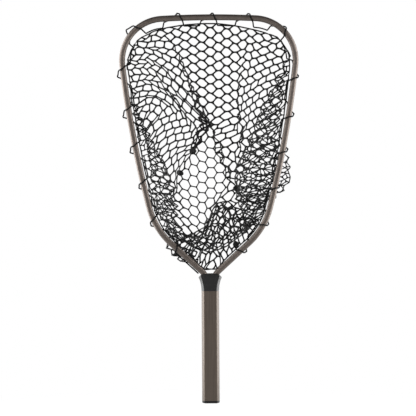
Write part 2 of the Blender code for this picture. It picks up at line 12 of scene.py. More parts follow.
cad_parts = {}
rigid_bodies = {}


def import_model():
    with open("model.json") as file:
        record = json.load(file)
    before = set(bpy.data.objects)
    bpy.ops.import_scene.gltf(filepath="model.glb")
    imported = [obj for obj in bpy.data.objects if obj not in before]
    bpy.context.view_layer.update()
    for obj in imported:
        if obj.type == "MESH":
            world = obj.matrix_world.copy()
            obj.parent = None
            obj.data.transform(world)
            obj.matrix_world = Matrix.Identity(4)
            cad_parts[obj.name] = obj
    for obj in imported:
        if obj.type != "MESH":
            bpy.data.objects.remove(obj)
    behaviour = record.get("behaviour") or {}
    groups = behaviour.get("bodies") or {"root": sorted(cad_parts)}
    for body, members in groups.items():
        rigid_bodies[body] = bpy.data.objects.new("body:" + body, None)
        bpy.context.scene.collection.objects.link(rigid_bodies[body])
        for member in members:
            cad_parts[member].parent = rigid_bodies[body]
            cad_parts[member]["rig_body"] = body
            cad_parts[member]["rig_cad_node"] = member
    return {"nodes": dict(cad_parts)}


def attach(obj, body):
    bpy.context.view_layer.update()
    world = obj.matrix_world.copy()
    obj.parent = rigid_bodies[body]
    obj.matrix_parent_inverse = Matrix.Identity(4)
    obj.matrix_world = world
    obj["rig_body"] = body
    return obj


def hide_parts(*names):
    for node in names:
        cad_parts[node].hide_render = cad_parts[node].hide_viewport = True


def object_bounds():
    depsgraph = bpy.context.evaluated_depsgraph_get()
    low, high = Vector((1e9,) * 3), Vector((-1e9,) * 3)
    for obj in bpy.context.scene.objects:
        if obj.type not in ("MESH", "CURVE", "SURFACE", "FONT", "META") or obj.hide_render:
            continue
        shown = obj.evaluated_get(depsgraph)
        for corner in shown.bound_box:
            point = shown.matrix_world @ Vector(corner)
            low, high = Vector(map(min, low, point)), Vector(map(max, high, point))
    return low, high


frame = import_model()
cad_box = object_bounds()
MM = 0.001


# Photographer's stand: a long lens square to the hoop, a white sweep behind and below, and soft
# boxes all round. The camera's small roll is the photograph's own.
PIXEL = 2.1 * MM
FRAME_PIXELS = 416
AXIS_COLUMN = 209.75
GRIP_ROW = 345.65
CAMERA_DISTANCE = 4.0
SENSOR = 36.0
ROLL = math.radians(0.36)

scene = bpy.context.scene
scene.view_settings.view_transform = "Standard"
lens = bpy.data.cameras.new("camera")
lens.sensor_width = SENSOR
lens.lens = SENSOR * CAMERA_DISTANCE / (FRAME_PIXELS * PIXEL)
camera = bpy.data.objects.new("camera", lens)
aim_x = (FRAME_PIXELS / 2 - AXIS_COLUMN) * PIXEL
aim_z = (GRIP_ROW - FRAME_PIXELS / 2) * PIXEL
camera.location = (aim_x, -CAMERA_DISTANCE, aim_z)
camera.rotation_euler = (math.pi / 2, ROLL, 0)
scene.collection.objects.link(camera)
scene.camera = camera


def linear(code):
    """A hex sRGB colour as linear RGBA."""
    values = [int(code[i:i + 2], 16) / 255 for i in (1, 3, 5)]
    return (*[v / 12.92 if v <= 0.04045 else ((v + 0.055) / 1.055) ** 2.4 for v in values], 1.0)


def add_node(tree, kind, settings=None, inputs=None, links=None):
    """Add a shader node, set it, and link its inputs from other nodes' outputs."""
    node = tree.nodes.new(kind)
    for key, value in (settings or {}).items():
        setattr(node, key, value)
    for key, value in (inputs or {}).items():
        node.inputs[key].default_value = value
    for key, source in (links or {}).items():
        tree.links.new(source, node.inputs[key])
    return node


def new_material(name):
    """An empty material with its Principled shader."""
    material = bpy.data.materials.new(name)
    material.use_nodes = True
    return material, material.node_tree, material.node_tree.nodes["Principled BSDF"]


def seen_rays(tree):
    """Add nodes that tell the camera's own rays, and those with the ones that polished metal sends on."""
    path = add_node(tree, "ShaderNodeLightPath")
    seen = add_node(
        tree, "ShaderNodeMath", {"operation": "MAXIMUM"},
        links={0: path.outputs["Is Camera Ray"], 1: path.outputs["Is Glossy Ray"]},
    )
    return path.outputs["Is Camera Ray"], seen.outputs[0]


# The camera and polished metal see a white backdrop all round. Metal also sees that the studio is dimmer
# overhead and underfoot, and dimmer on the camera's side.
STUDIO_LEVEL = 0.6
OVERHEAD_LEVEL = 0.25
CAMERA_SIDE_LEVEL = 0.7
world = bpy.data.worlds.new("studio")
world.use_nodes = True
scene.world = world
studio = world.node_tree
studio_light = studio.nodes["Background"]
studio_light.inputs["Color"].default_value = linear("#e9e9ea")
studio_light.inputs["Strength"].default_value = STUDIO_LEVEL
camera_rays, seen = seen_rays(studio)
way = add_node(studio, "ShaderNodeTexCoord")
axes = add_node(studio, "ShaderNodeSeparateXYZ", links={0: way.outputs["Generated"]})
steep = add_node(studio, "ShaderNodeMath", {"operation": "ABSOLUTE"}, links={0: axes.outputs["Z"]})
overhead = add_node(
    studio, "ShaderNodeMapRange", {"interpolation_type": "SMOOTHSTEP"},
    {"From Min": 0.3, "From Max": 0.95, "To Min": 1.0, "To Max": OVERHEAD_LEVEL},
    {"Value": steep.outputs[0]},
)
camera_side = add_node(
    studio, "ShaderNodeMapRange",
    inputs={"From Min": -1.0, "From Max": 0.1, "To Min": CAMERA_SIDE_LEVEL, "To Max": 1.0},
    links={"Value": axes.outputs["Y"]},
)
dimmed = add_node(
    studio, "ShaderNodeMath", {"operation": "MULTIPLY"},
    links={0: overhead.outputs["Result"], 1: camera_side.outputs["Result"]},
)
level = add_node(
    studio, "ShaderNodeMath", {"operation": "MAXIMUM"}, links={0: dimmed.outputs[0], 1: camera_rays}
)
white = add_node(
    studio, "ShaderNodeBackground", inputs={"Color": (1, 1, 1, 1)}, links={"Strength": level.outputs[0]}
)
shown = add_node(
    studio, "ShaderNodeMixShader", links={0: seen, 1: studio_light.outputs[0], 2: white.outputs[0]}
)
studio.links.new(shown.outputs[0], studio.nodes["World Output"].inputs["Surface"])

# Two soft boxes in front, a tall strip behind on each side that picks out the outer edges, and a broad one
# beside it.
LAMP_AIM = Vector((0, 0, 0.3))
for name, place, width, height, power in (
    ("key_left", (-1.6, -2.2, 1.5), 1.4, 1.4, 16),
    ("key_right", (1.6, -2.2, 1.3), 1.4, 1.4, 5),
    ("strip_left", (-0.58, 0.42, 0.3), 0.3, 1.3, 4.4),
    ("strip_right", (0.58, 0.42, 0.3), 0.3, 1.3, 4.6),
    ("side_left", (-0.75, 0.05, 0.4), 0.4, 1.3, 12),
    ("side_right", (0.8, -0.1, 0.4), 0.45, 1.3, 11),
):
    light = bpy.data.lights.new(name, "AREA")
    light.shape = "RECTANGLE"
    light.size = width
    light.size_y = height
    light.energy = power
    lamp = bpy.data.objects.new(name, light)
    lamp.location = place
    lamp.rotation_euler = (LAMP_AIM - Vector(place)).to_track_quat("-Z", "Y").to_euler()
    lamp.visible_camera = False
    scene.collection.objects.link(lamp)

# The net is held up clear of the paper, with room for its end plug to come out. The paper keeps the net's
# shadow, and turns into the backdrop's white further out.
FLOOR_GAP = 45.0 * MM
PAPER_SIZE = 12.0
PAPER_GLOW = 0.78
PAPER_NEAR = 0.10
PAPER_FAR = 0.75
bpy.ops.mesh.primitive_plane_add(size=PAPER_SIZE, location=(0, 0, cad_box[0][2] - FLOOR_GAP))
floor = bpy.context.object
floor.name = "floor"
floor_paper, tree, shader = new_material("white_paper_sweep")
shader.inputs["Base Color"].default_value = linear("#f4f4f4")
shader.inputs["Roughness"].default_value = 0.9
place = add_node(tree, "ShaderNodeTexCoord")
away = add_node(tree, "ShaderNodeVectorMath", {"operation": "LENGTH"}, links={0: place.outputs["Object"]})
faded = add_node(
    tree, "ShaderNodeMapRange", {"interpolation_type": "SMOOTHSTEP"},
    {"From Min": PAPER_NEAR, "From Max": PAPER_FAR, "To Min": PAPER_GLOW, "To Max": 1.0},
    {"Value": away.outputs["Value"]},
)
_, seen = seen_rays(tree)
share = add_node(
    tree, "ShaderNodeMath", {"operation": "MULTIPLY"}, links={0: seen, 1: faded.outputs["Result"]}
)
glow = add_node(tree, "ShaderNodeEmission", inputs={"Color": (1, 1, 1, 1), "Strength": 1.0})
lit = add_node(
    tree, "ShaderNodeMixShader", links={0: share.outputs[0], 1: shader.outputs[0], 2: glow.outputs[0]}
)
tree.links.new(lit.outputs[0], tree.nodes["Material Output"].inputs["Surface"])
floor.data.materials.append(floor_paper)


# Hoop: one length of drawn aluminium tube, bent to shape and anodised a brown grey. It repeats the
# CAD tube's centreline with many more points, so the bends are smooth.
TUBE_RADIUS = 6.35 * MM
HOOP_TOP_Z = 689.5 * MM
HOOP_HALF_WIDTH = 182.3 * MM
CROWN_TILT = math.radians(3.0)
CORNER_RADIUS = 88.0 * MM
SIDE_TILT_UPPER = math.radians(6.5)
SIDE_TILT_LOWER = math.radians(14.3)
SHOULDER_RADIUS = 152.0 * MM
LEG_TILT = math.radians(47.5)
LEG_BEND_RADIUS = 30.0 * MM
LEG_HALF_SPACING = 7.4 * MM
HANDLE_TOP_Z = 115.0 * MM
LEG_BEND_ABOVE_HANDLE = 19.0 * MM
LEG_LENGTH_IN_HANDLE = 66.0 * MM
POINT_STEP = 3 * MM
LEG_POINTS = 20
SLOPE_REACH = 4 * MM


def arc_points(centre, radius, start, stop):
    """Points on an arc, without its first point, about one step apart."""
    steps = max(4, round(abs(stop - start) * radius / POINT_STEP))
    angles = [start + (stop - start) * i / steps for i in range(1, steps + 1)]
    return [(centre[0] + radius * math.cos(a), centre[1] + radius * math.sin(a)) for a in angles]


def hoop_half():
    """The right half of the hoop's centreline, from the top down into the handle."""
    crown_half = HOOP_HALF_WIDTH - CORNER_RADIUS * (1 - math.sin(CROWN_TILT))
    crown_radius = crown_half / math.sin(CROWN_TILT)
    corner_z = HOOP_TOP_Z - crown_radius * (1 - math.cos(CROWN_TILT)) - CORNER_RADIUS * math.cos(CROWN_TILT)
    side_tilt = (SIDE_TILT_UPPER + SIDE_TILT_LOWER) / 2
    width_left = HOOP_HALF_WIDTH - LEG_HALF_SPACING
    width_left -= CORNER_RADIUS * (1 - math.cos(SIDE_TILT_UPPER))
    width_left -= SHOULDER_RADIUS * (math.cos(SIDE_TILT_LOWER) - math.cos(LEG_TILT))
    width_left -= LEG_BEND_RADIUS * (1 - math.cos(LEG_TILT))
    height_left = corner_z - HANDLE_TOP_Z - LEG_BEND_ABOVE_HANDLE
    height_left -= CORNER_RADIUS * math.sin(SIDE_TILT_UPPER)
    height_left -= SHOULDER_RADIUS * (math.sin(LEG_TILT) - math.sin(SIDE_TILT_LOWER))
    height_left -= LEG_BEND_RADIUS * math.sin(LEG_TILT)
    runs = np.array([[math.sin(side_tilt), math.sin(LEG_TILT)], [math.cos(side_tilt), math.cos(LEG_TILT)]])
    side_chord, leg_run = np.linalg.solve(runs, [width_left, height_left])
    side_radius = side_chord / 2 / math.sin((SIDE_TILT_LOWER - SIDE_TILT_UPPER) / 2)
    quarter = math.pi / 2
    points = [(0.0, HOOP_TOP_Z)]
    points += arc_points((0, HOOP_TOP_Z - crown_radius), crown_radius, quarter, quarter - CROWN_TILT)
    corner_x = HOOP_HALF_WIDTH - CORNER_RADIUS
    points += arc_points((corner_x, corner_z), CORNER_RADIUS, quarter - CROWN_TILT, -SIDE_TILT_UPPER)
    for radius, start, stop in (
        (side_radius, SIDE_TILT_UPPER, SIDE_TILT_LOWER),
        (SHOULDER_RADIUS, SIDE_TILT_LOWER, LEG_TILT),
    ):
        x, z = points[-1]
        centre = (x - radius * math.cos(start), z + radius * math.sin(start))
        points += arc_points(centre, radius, -start, -stop)
    x, z = points[-1]
    for share in np.linspace(0, 1, LEG_POINTS)[1:]:
        points.append((x - leg_run * share * math.sin(LEG_TILT), z - leg_run * share * math.cos(LEG_TILT)))
    x, z = points[-1]
    bend_centre = (x + LEG_BEND_RADIUS * math.cos(LEG_TILT), z - LEG_BEND_RADIUS * math.sin(LEG_TILT))
    points += arc_points(bend_centre, LEG_BEND_RADIUS, math.pi - LEG_TILT, math.pi)
    points.append((LEG_HALF_SPACING, HANDLE_TOP_Z - LEG_LENGTH_IN_HANDLE))
    return points


def run_lengths(points):
    """The length along a line at each of its points."""
    return np.concatenate([[0.0], np.cumsum(np.linalg.norm(np.diff(points, axis=0), axis=1))])


right_half = hoop_half()
hoop_line = np.array([(-x, z) for x, z in reversed(right_half[1:])] + right_half)
hoop_at = run_lengths(hoop_line)


def beside_hoop(s, inward, back):
    """A point beside the tube at length s: so far into the mouth, and so far behind it."""
    def on_line(length):
        return np.array([np.interp(length, hoop_at, hoop_line[:, k]) for k in (0, 1)])
    along = on_line(s + SLOPE_REACH) - on_line(s - SLOPE_REACH)
    along /= np.linalg.norm(along)
    x, z = on_line(s) + inward * np.array([along[1], -along[0]])
    return Vector((x, back, z))


def mesh_piece(name, work):
    """A finished mesh as a piece in the scene."""
    mesh = bpy.data.meshes.new(name)
    work.to_mesh(mesh)
    work.free()
    piece = bpy.data.objects.new(name, mesh)
    scene.collection.objects.link(piece)
    return piece


def swept_tube(name, points, radius, sides):
    """A closed round tube along points, with its length and girth in millimetres as its UV map."""
    points = [Vector(p) for p in points]
    ahead, behind = points[1:] + points[-1:], points[:1] + points[:-1]
    tangents = [(a - b).normalized() for a, b in zip(ahead, behind)]
    normal = tangents[0].orthogonal().normalized()
    turns = [2 * math.pi * k / sides for k in range(sides)]
    work = bmesh.new()
    rings = []
    lengths = [0.0]
    for i, (point, tangent) in enumerate(zip(points, tangents)):
        if i:
            normal = (normal - tangent * normal.dot(tangent)).normalized()
            lengths.append(lengths[-1] + (point - points[i - 1]).length)
        across = tangent.cross(normal)
        around = [normal * math.cos(a) + across * math.sin(a) for a in turns]
        rings.append([work.verts.new(point + radius * way) for way in around])
    uv = work.loops.layers.uv.new("UVMap")
    girth = 2 * math.pi * radius / MM
    for i in range(len(rings) - 1):
        for k in range(sides):
            n = (k + 1) % sides
            face = work.faces.new((rings[i][k], rings[i][n], rings[i + 1][n], rings[i + 1][k]))
            face.smooth = True
            for loop, (row, turn) in zip(face.loops, ((i, k), (i, k + 1), (i + 1, k + 1), (i + 1, k))):
                loop[uv].uv = (lengths[row] / MM, girth * turn / sides)
    work.faces.new(rings[0])
    work.faces.new(rings[-1])
    bmesh.ops.recalc_face_normals(work, faces=work.faces)
    return mesh_piece(name, work)


# Anodised aluminium, satin: the dye makes the metal a dark brown grey, the etched surface spreads its
# reflections, and drawing leaves faint streaks along the length.
GRIT_SIZE = 0.8 * MM
GRIT_DEPTH = 0.05 * MM
STREAK_WIDTH = 1.2 * MM
TUBE_STREAK = 14 * MM
HANDLE_STREAK = 90 * MM


def anodised(name, dyes, streak_size):
    material, tree, shader = new_material(name)
    place = add_node(tree, "ShaderNodeTexCoord")
    stretch = add_node(
        tree, "ShaderNodeMapping", inputs={"Scale": [1 / size for size in streak_size]},
        links={"Vector": place.outputs["Object"]},
    )
    streak = add_node(
        tree, "ShaderNodeTexNoise", inputs={"Scale": 1.0, "Detail": 3.0},
        links={"Vector": stretch.outputs[0]},
    )
    dye = add_node(tree, "ShaderNodeValToRGB", links={"Fac": streak.outputs["Fac"]})
    for stop, position, code in zip(dye.color_ramp.elements, (0.3, 0.7), dyes):
        stop.position = position
        stop.color = linear(code)
    tree.links.new(dye.outputs["Color"], shader.inputs["Base Color"])
    shader.inputs["Metallic"].default_value = 0.85
    satin = add_node(
        tree, "ShaderNodeMapRange", inputs={"To Min": 0.32, "To Max": 0.44},
        links={"Value": streak.outputs["Fac"]},
    )
    tree.links.new(satin.outputs["Result"], shader.inputs["Roughness"])
    grit = add_node(
        tree, "ShaderNodeTexNoise", inputs={"Scale": 1 / GRIT_SIZE, "Detail": 2.0},
        links={"Vector": place.outputs["Object"]},
    )
    bump = add_node(
        tree, "ShaderNodeBump", inputs={"Strength": 0.06, "Distance": GRIT_DEPTH},
        links={"Height": grit.outputs["Fac"]},
    )
    tree.links.new(bump.outputs["Normal"], shader.inputs["Normal"])
    return material


tube_finish = anodised(
    "anodised_drawn_tube", ("#554e49", "#615954"), (TUBE_STREAK, STREAK_WIDTH, TUBE_STREAK)
)
hoop = swept_tube("hoop_tube", [(x, 0.0, z) for x, z in hoop_line], TUBE_RADIUS, sides=28)
hoop.data.materials.append(tube_finish)
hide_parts("hoop")
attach(hoop, "net")


# Handle: a hollow aluminium extrusion, sawn square, its edges broken and the whole anodised with the
# hoop. Its faces keep the CAD shape, with a smooth nose on each side.
MERGE_WITHIN = 0.02 * MM


def select_only(piece):
    """Make a piece the one that the next operators work on."""
    bpy.ops.object.select_all(action="DESELECT")
    bpy.context.view_layer.objects.active = piece
    piece.select_set(True)


def smooth_copy(node, name, angle):
    """A copy of a CAD node with its loose triangles merged, smooth where it bends less than an angle."""
    piece = frame["nodes"][node].copy()
    piece.data = piece.data.copy()
    piece.parent = None
    piece.name = name
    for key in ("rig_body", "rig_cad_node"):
        if key in piece:
            del piece[key]
    scene.collection.objects.link(piece)
    select_only(piece)
    bpy.ops.object.mode_set(mode="EDIT")
    bpy.ops.mesh.select_all(action="SELECT")
    bpy.ops.mesh.remove_doubles(threshold=MERGE_WITHIN)
    bpy.ops.mesh.tris_convert_to_quads(face_threshold=math.radians(2), shape_threshold=math.radians(180))
    bpy.ops.mesh.dissolve_limited(angle_limit=math.radians(0.5))
    bpy.ops.object.mode_set(mode="OBJECT")
    bpy.ops.object.shade_smooth_by_angle(angle=math.radians(angle))
    piece.data.materials.clear()
    return piece


handle = smooth_copy("handle", "handle_grip", angle=50)
handle_finish = anodised(
    "anodised_extrusion", ("#504841", "#5c534b"), (STREAK_WIDTH, STREAK_WIDTH, HANDLE_STREAK)
)
handle.data.materials.append(handle_finish)
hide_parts("handle")
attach(handle, "net")


# Throat plug: injection-moulded nylon, black, with a fine spark texture from its tool. It closes the
# top of the handle round the hoop's two legs.

# Moulded nylon and rubber: nearly black all through, with rubbed patches that change its gloss and a fine
# grain that keeps its highlights soft.
SCUFF_SIZE = 18 * MM
GRAIN_DEPTH = 0.1 * MM


def moulded(name, tones, rough, grain, sheen):
    material, tree, shader = new_material(name)
    place = add_node(tree, "ShaderNodeTexCoord")
    spark = add_node(
        tree, "ShaderNodeTexNoise", inputs={"Scale": 1 / grain, "Detail": 4.0, "Roughness": 0.6},
        links={"Vector": place.outputs["Object"]},
    )
    scuff = add_node(
        tree, "ShaderNodeTexNoise", inputs={"Scale": 1 / SCUFF_SIZE, "Detail": 5.0},
        links={"Vector": place.outputs["Object"]},
    )
    tone = add_node(tree, "ShaderNodeValToRGB", links={"Fac": scuff.outputs["Fac"]})
    for stop, position, code in zip(tone.color_ramp.elements, (0.35, 0.75), tones):
        stop.position = position
        stop.color = linear(code)
    tree.links.new(tone.outputs["Color"], shader.inputs["Base Color"])
    gloss = add_node(
        tree, "ShaderNodeMapRange", inputs={"To Min": rough[0], "To Max": rough[1]},
        links={"Value": scuff.outputs["Fac"]},
    )
    tree.links.new(gloss.outputs["Result"], shader.inputs["Roughness"])
    shader.inputs["Specular IOR Level"].default_value = sheen
    bump = add_node(
        tree, "ShaderNodeBump", inputs={"Strength": 0.15, "Distance": GRAIN_DEPTH},
        links={"Height": spark.outputs["Fac"]},
    )
    tree.links.new(bump.outputs["Normal"], shader.inputs["Normal"])
    return material


plug = smooth_copy("throat_plug", "throat_collar", angle=32)
nylon = moulded("moulded_black_nylon", ("#0f0f0f", "#161617"), (0.28, 0.4), grain=0.5 * MM, sheen=0.3)
plug.data.materials.append(nylon)
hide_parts("throat_plug")
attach(plug, "net")


# End plug: a lip and a hollow ribbed tenon, moulded in one of soft black rubber. It is pressed into the
# butt, where its ribs hold it, and it pulls out.
butt = smooth_copy("end_plug", "butt_plug", angle=32)
soft_rubber = moulded("moulded_black_rubber", ("#070707", "#0d0d0d"), (0.35, 0.5), grain=0.6 * MM, sheen=0.2)
butt.data.materials.append(soft_rubber)
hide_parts("end_plug")
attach(butt, "end_plug")


# Rivets and cross pin: plain steel. The pin goes through the throat plug and the hoop's legs, and the
# rivets are driven from the back, where only their two round heads show.

# Zinc plating: a bright grey metal with a cloudy look.
TARNISH_SIZE = 3 * MM
steel, tree, shader = new_material("zinc_plated_steel")
place = add_node(tree, "ShaderNodeTexCoord")
tarnish = add_node(
    tree, "ShaderNodeTexNoise", inputs={"Scale": 1 / TARNISH_SIZE, "Detail": 3.0},
    links={"Vector": place.outputs["Object"]},
)
plate = add_node(tree, "ShaderNodeValToRGB", links={"Fac": tarnish.outputs["Fac"]})
for stop, code in zip(plate.color_ramp.elements, ("#8d8c8a", "#b4b3b1")):
    stop.color = linear(code)
tree.links.new(plate.outputs["Color"], shader.inputs["Base Color"])
shader.inputs["Metallic"].default_value = 1.0
shader.inputs["Roughness"].default_value = 0.34
for node in ("rivet_1", "rivet_2", "leg_pin"):
    fastener = smooth_copy(node, node + "_steel", angle=40)
    fastener.data.materials.append(steel)
    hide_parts(node)
    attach(fastener, "net")


# Lacing: one black braided cord, wound round the tube and the bag's rim strand. It comes over the
# front, runs along the rim, and goes back behind the tube; its tail lies on the left leg.
CORD_RADIUS = 1.5 * MM
WRAPS = 17
# The cord is stiff, so each loop stands off the tube's outer side, most of all on the left.
LOOP_SLACK = (1.5, 2.0, 2.5, 4.5, 5.5, 4.5, 5.5, 1.5, 0.0, 0.5, 0.0, 0.5, 2.0, 2.0, 1.0, 1.0, 1.5)
# Lacing by hand isn't even: how far each wrap is moved on along the hoop.
WRAP_SHIFT = (0, -3, -3, -5, -10, -8, 5, 22, 10, 5, 0, 24, 25, 18, 13, 13, 3)
WRAP_LEAD = 0.38
OUTSIDE_SHARE = 0.80
TAIL_LENGTH = 60.0 * MM
LACING_ABOVE_BEND = 28.0 * MM
RIM_OFFSET = 10.0 * MM
# How far the rim strand hangs from the tube's middle, by the length along the hoop from its top. It cuts the
# two top corners.
RIM_SLACK = (
    (0, 13.8), (90, 13.2), (125, 16.5), (160, 19.0), (200, 15.5), (245, 11.0), (300, 10.0), (520, 9.5),
    (620, 8.2),
)
RIM_STRIP = 3.2 * MM
RIM_WALL = 2.4 * MM
GAP = 0.3 * MM
# Where in a wrap the cord lies half-way along the rim.
RIM_SHARE = 0.25
lacing_start = LEG_BEND_RADIUS * LEG_TILT + LEG_BEND_ABOVE_HANDLE + LEG_LENGTH_IN_HANDLE + LACING_ABOVE_BEND
pitch = (hoop_at[-1] - 2 * lacing_start) / WRAPS
beside = TUBE_RADIUS + CORD_RADIUS + 1.8 * GAP
# At 45 degrees round the tube the cord stands a touch further off.
slant = beside * math.sqrt(0.5) * 1.02
front_lip = CORD_RADIUS + GAP


def rim_offset(s):
    """How far the rim strand hangs from the tube's middle at a length along the hoop."""
    from_top = abs(s - hoop_at[-1] / 2) / MM
    return np.interp(from_top, *zip(*RIM_SLACK)) * MM


def lacing_wrap(loose, rim_back):
    """One wrap of the cord: share of the pitch, how far into the mouth, how far back."""
    inside = rim_back + RIM_WALL / 2 + CORD_RADIUS + 2.5 * GAP
    # A looser loop comes round to the outer side sooner.
    behind_to = 0.82 - 0.02 * loose / MM
    return [
        (0.00, inside - 0.6 * MM, -front_lip * 0.9),
        (0.05, inside + 0.15 * MM, 0.6 * MM),
        (0.18, inside + 0.15 * MM, 1.2 * MM),
        (0.32, inside + 0.15 * MM, 1.8 * MM),
        (0.43, inside + 0.1 * MM, 2.4 * MM),
        (0.48, inside - 0.9 * MM, RIM_STRIP + front_lip + 0.6 * MM),
        (0.515, RIM_OFFSET - 2.2 * MM, beside),
        (0.55, 0.7 * beside, beside * 1.04),
        (0.275 + 0.5 * behind_to, 0.1 * beside, beside * 1.02),
        (behind_to - 0.02, -slant - 0.5 * loose, slant),
        (behind_to + 0.015, -beside - loose, 1.5 * MM),
        (0.43 + 0.5 * behind_to, -beside - 0.65 * loose, 0.0),
        (0.865, -beside - 0.25 * loose, -1.5 * MM),
        (0.888, -slant - 0.1 * loose, -slant),
        (0.912, 0.0, -beside),
        (0.94, 0.55 * beside, -beside * 0.98),
        (0.97, RIM_OFFSET - 1.6 * MM, -front_lip - 2.2 * MM),
    ]


def hoop_length(wraps):
    """How far along the hoop the cord is after a number of wraps."""
    shift = np.interp(wraps, np.arange(WRAPS) + OUTSIDE_SHARE, WRAP_SHIFT) * MM
    return lacing_start + (wraps - WRAP_LEAD) * pitch + shift


tail_end = hoop_length(OUTSIDE_SHARE)
route = [beside_hoop(tail_end - TAIL_LENGTH * share, -beside, 0.0) for share in (1.0, 0.75, 0.5, 0.25)]
for wrap in range(WRAPS):
    rim_here = rim_offset(hoop_length(wrap + RIM_SHARE))
    for share, inward, back in lacing_wrap(LOOP_SLACK[wrap] * MM, rim_here):
        if wrap > 0 or share > OUTSIDE_SHARE:
            route.append(beside_hoop(hoop_length(wrap + share), inward, back))


def smooth_line(controls, steps):
    """A smooth line through every control point."""
    line = []
    for i in range(len(controls) - 1):
        before = controls[max(i - 1, 0)]
        after = controls[min(i + 2, len(controls) - 1)]
        a, b = controls[i], controls[i + 1]
        for k in range(steps):
            t = k / steps
            line.append(
                (2 * t ** 3 - 3 * t ** 2 + 1) * a + (t ** 3 - 2 * t ** 2 + t) * (b - before) * 0.5
                + (3 * t ** 2 - 2 * t ** 3) * b + (t ** 3 - t ** 2) * (after - a) * 0.5
            )
    line.append(controls[-1])
    return line


lacing = swept_tube("lacing_braid", smooth_line(route, steps=5), CORD_RADIUS, sides=10)
# Braided nylon: dull black, with a slanting plait. The cord's UV map, and so the plait's width, is in
# millimetres.
PLAIT = 1.4
PLAIT_SLANT = math.radians(35)
PLAIT_DEPTH = 0.2 * MM
braid, tree, shader = new_material("braided_nylon_cord")
along = add_node(tree, "ShaderNodeTexCoord")
turn = add_node(
    tree, "ShaderNodeMapping",
    inputs={"Rotation": (0, 0, PLAIT_SLANT), "Scale": (1 / PLAIT, 1 / PLAIT, 1)},
    links={"Vector": along.outputs["UV"]},
)
plait = add_node(
    tree, "ShaderNodeTexWave", inputs={"Scale": 0.5, "Distortion": 0.4}, links={"Vector": turn.outputs[0]}
)
tone = add_node(tree, "ShaderNodeValToRGB", links={"Fac": plait.outputs["Fac"]})
for stop, code in zip(tone.color_ramp.elements, ("#020202", "#0c0c0c")):
    stop.color = linear(code)
tree.links.new(tone.outputs["Color"], shader.inputs["Base Color"])
shader.inputs["Roughness"].default_value = 0.8
shader.inputs["Specular IOR Level"].default_value = 0.15
bump = add_node(
    tree, "ShaderNodeBump", inputs={"Strength": 0.5, "Distance": PLAIT_DEPTH},
    links={"Height": plait.outputs["Fac"]},
)
tree.links.new(bump.outputs["Normal"], shader.inputs["Normal"])
lacing.data.materials.append(braid)
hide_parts("lacing_cord")
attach(lacing, "net")


# Bag: one moulding of black rubber strands in hexagons, laced on by its rim strand. The rows of the flat
# sheet run across the bag from rim to rim: over a side wall, the bottom panel and the other wall. The
# sheet is wider than the bag, so the walls fold over themselves.
LEFT, RIGHT = -1, 1
CELL = 22.5 * MM
# Half the width of a strand on the walls, the rim, the bottom panel and each side's pleat.
WALL_STRAND = 1.66 * MM
RIM_STRAND = 1.35 * WALL_STRAND
PANEL_STRAND = 1.2 * MM
PLEAT_STRAND = {LEFT: 0.82 * MM, RIGHT: 1.05 * MM}
STRAND_THICKNESS = 2.6 * MM
EDGE_THICKNESS = 0.45
CORNER_RUN = 4.8 * MM
PANEL_CORNER_RUN = 3.0 * MM
BAR_SQUEEZE = 2.2 * MM
RIM_BACK = 1.6 * MM
THROAT_DROP = 24.0 * MM
BAG_BACK_LIMIT = 188.0 * MM

# The sheet's middle column, from the top of the rim down over the panel to the throat: how far back, how
# high. Low down it folds up in front of the panel.
MIDDLE_X = 3.0 * MM
MIDDLE_COLUMN = (
    (1.6, 677.5), (9, 672), (24, 648), (66, 585), (116, 508), (150, 455), (174, 395), (182, 330), (180, 262),
    (172, 222), (158, 200), (140, 196), (122, 210), (104, 242), (88, 270), (74, 276), (60, 266), (44, 238),
    (26, 200), (1.6, 160),
)
# Lines on the hanging bag, in millimetres: at each height, a place across or an amount. A side wall
# starts at its foot, where the sheet steps back and laps over itself.
WALL_FOOT = {
    LEFT: ((662, -92), (631, -73), (560, -43), (505, -20), (470, -4), (440, -20), (415, -39), (363, -65),
           (306, -71), (253, -50), (222, -32), (190, -16), (166, -4)),
    RIGHT: ((662, 84), (585, 69), (526, 61), (451, 67), (411, 60), (358, 40), (331, 34), (306, 14),
            (253, -22), (222, -24), (190, -8), (166, 8)),
}
FOOT_STEP = {
    LEFT: ((662, 0), (631, 20), (560, 30), (505, 30), (470, 24), (415, 10), (363, 0)),
    RIGHT: ((662, 0), (600, 4), (560, 12), (526, 26), (451, 22), (411, 8), (363, 0)),
}
FOOT_LAP = {
    LEFT: ((662, -4), (600, -3), (545, 0), (510, 10), (488, 18), (462, 22), (435, 15), (400, -2)),
    RIGHT: ((662, -4), (526, -1), (451, 0), (411, -3)),
}
# One more fold on each side: at each height, its place across, its step back and its lap.
CREASE = {
    LEFT: ((425, -30, 0, 0), (444, -27, 14, -1), (476, -37, 22, -1), (516, -69, 24, -2), (572, -106, 20, -3),
           (610, -128, 0, 0)),
    RIGHT: ((322, 56, 0, 0), (335, 53, 12, 9), (369, 40, 14, 10), (411, 22, 14, 10), (445, 13, 12, 9),
            (470, 12, 0, 0)),
}
